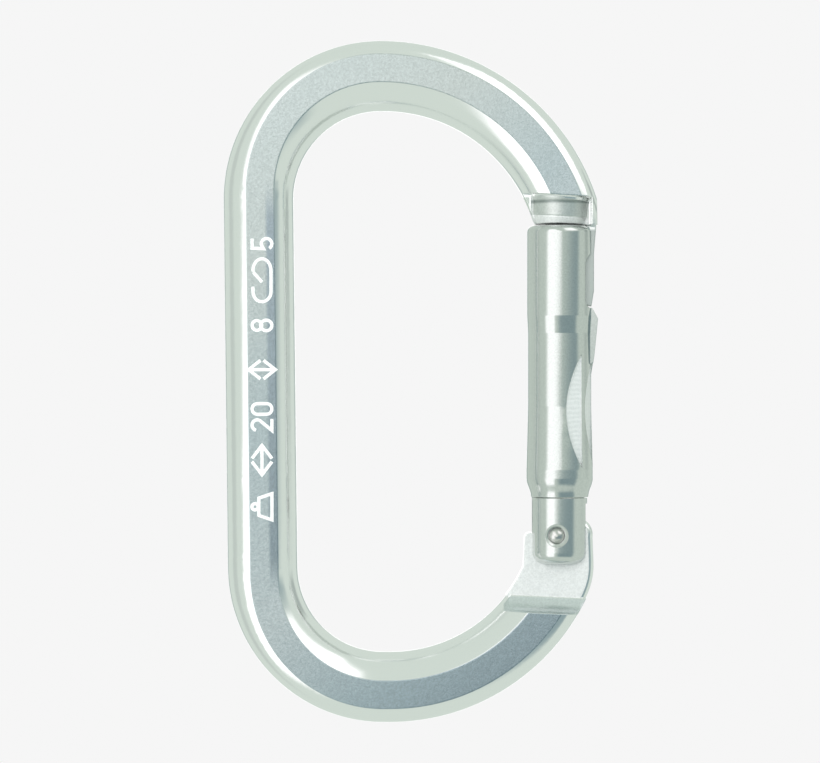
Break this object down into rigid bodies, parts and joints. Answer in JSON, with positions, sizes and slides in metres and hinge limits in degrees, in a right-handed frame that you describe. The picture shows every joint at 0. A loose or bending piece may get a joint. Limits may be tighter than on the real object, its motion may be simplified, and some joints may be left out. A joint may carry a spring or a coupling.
{
  "type": "locking carabiner",
  "caption": "Oval aluminium carabiner with a sprung hinged gate and a quarter-turn locking sleeve; the flat-faced rod frame links ropes, slings and harness loops.",
  "frame": {"origin": "centre of the bounding box: middle of the length, width and thickness", "axes": "+Z along the long axis towards the upper bow where the nose is, +X towards the gate, +Y through the thickness"},
  "size_m": [0.0604, 0.0108, 0.11],
  "materials": {
    "frame_aluminium": "polished rod with satin flats",
    "gate_aluminium": "polished",
    "sleeve_aluminium": "polished, with bright milled pockets",
    "pin_steel": "polished stainless",
    "spring_steel": "drawn wire"
  },
  "bodies": {
    "frame": {"frame": "frame_aluminium"},
    "gate": {"gate_body": "gate_aluminium", "hinge_pin": "pin_steel", "gate_spring": "spring_steel", "sleeve_stop_pin": "pin_steel", "sleeve_snap_ring": "spring_steel"},
    "sleeve": {"locking_sleeve": "sleeve_aluminium"},
    "plunger": {"spring_plunger": "pin_steel"}
  },
  "joints": [
    {"name": "gate_hinge", "type": "hinge", "parent": "frame", "child": "gate", "pos_m": [0.0235, 0, -0.0248], "axis": [0, -1, 0], "range_deg": [0, 25], "stiffness_Nm_per_rad": 0.3, "springref_deg": -45.84},
    {"name": "sleeve_twist", "type": "hinge", "parent": "gate", "child": "sleeve", "pos_m": [0.0241, 0, 0.003], "axis": [0, 0, -1], "range_deg": [0, 90]},
    {"name": "plunger_slide", "type": "slide", "parent": "gate", "child": "plunger", "axis": [0, 0, 1], "range_m": [0, 0.00045], "deforming": ["gate_spring"]}
  ],
  "couplings": [
    {"joint": "plunger_slide", "follows": "gate_hinge", "m_per_rad": 0.001}
  ]
}
